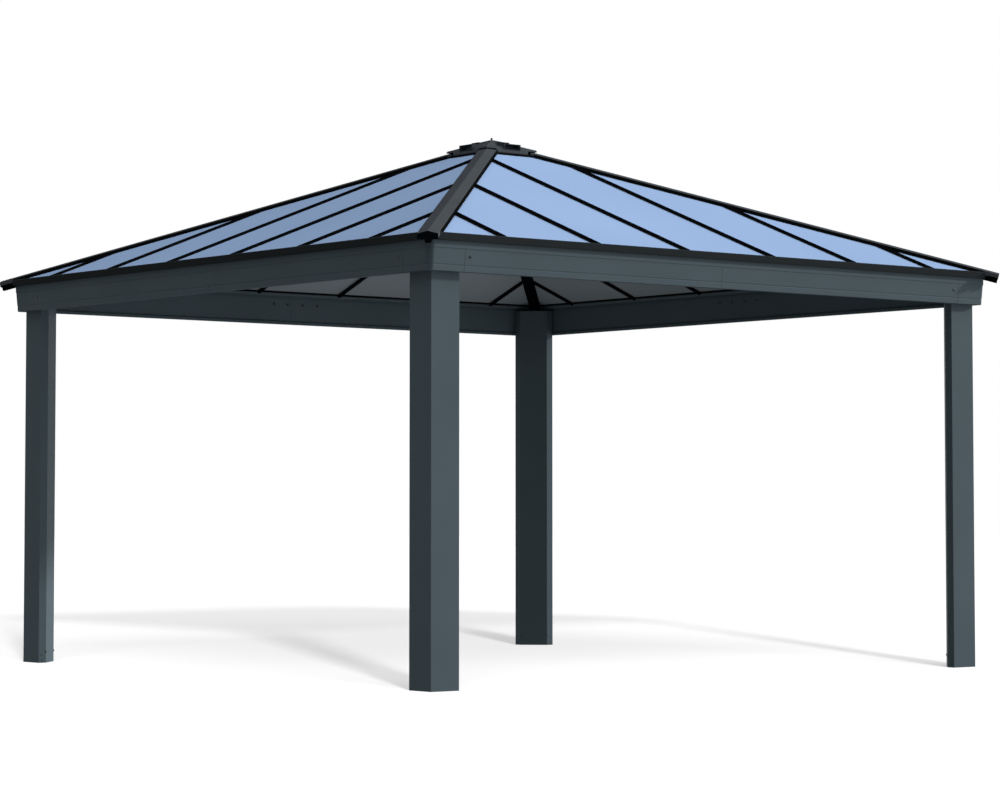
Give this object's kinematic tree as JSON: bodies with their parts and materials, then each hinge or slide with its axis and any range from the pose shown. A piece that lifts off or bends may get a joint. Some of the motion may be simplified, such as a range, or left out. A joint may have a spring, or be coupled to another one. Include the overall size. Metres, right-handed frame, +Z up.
{
  "type": "hardtop metal gazebo",
  "caption": "Square open gazebo on corner posts, with moulded metal beams and a vented hipped roof of clear sheets between dark bars.",
  "frame": {"origin": "on the ground at the centre of the plan", "axes": "+X to the right and +Y to the back, seen from the front; +Z up"},
  "size_m": [4.3404, 4.3404, 3.161],
  "materials": {
    "frame_slate": "satin powder coat, slate grey",
    "roof_dark": "satin powder coat, brown-black",
    "cover_grey": "satin powder coat, dark grey",
    "end_cap_black": "moulded black",
    "roof_sheet": "blue-tinted clear sheet"
  },
  "bodies": {
    "root": {"beam_back_left": "frame_slate", "beam_back_right": "frame_slate", "beam_corner_back_left": "frame_slate", "beam_corner_back_right": "frame_slate", "beam_corner_front_left": "frame_slate", "beam_corner_front_right": "frame_slate", "beam_front_left": "frame_slate", "beam_front_right": "frame_slate", "beam_left_back": "frame_slate", "beam_left_front": "frame_slate", "beam_right_back": "frame_slate", "beam_right_front": "frame_slate", "beam_splices": "frame_slate", "eave_rail_back": "frame_slate", "eave_rail_front": "frame_slate", "eave_rail_left": "frame_slate", "eave_rail_right": "frame_slate", "eave_trims": "roof_dark", "foot_back_left": "frame_slate", "foot_back_right": "frame_slate", "foot_front_left": "frame_slate", "foot_front_right": "frame_slate", "glazing_bars_back": "roof_dark", "glazing_bars_front": "roof_dark", "glazing_bars_left": "roof_dark", "glazing_bars_right": "roof_dark", "hip_cover_back_left": "cover_grey", "hip_cover_back_right": "cover_grey", "hip_cover_front_left": "cover_grey", "hip_cover_front_right": "cover_grey", "hip_end_caps": "end_cap_black", "hip_rafter_back_left": "roof_dark", "hip_rafter_back_right": "roof_dark", "hip_rafter_front_left": "roof_dark", "hip_rafter_front_right": "roof_dark", "peak_cap": "cover_grey", "peak_hub": "roof_dark", "peak_skirt": "cover_grey", "post_back_left": "frame_slate", "post_back_right": "frame_slate", "post_front_left": "frame_slate", "post_front_right": "frame_slate", "roof_panels_back": "roof_sheet", "roof_panels_front": "roof_sheet", "roof_panels_left": "roof_sheet", "roof_panels_right": "roof_sheet"}
  },
  "joints": []
}
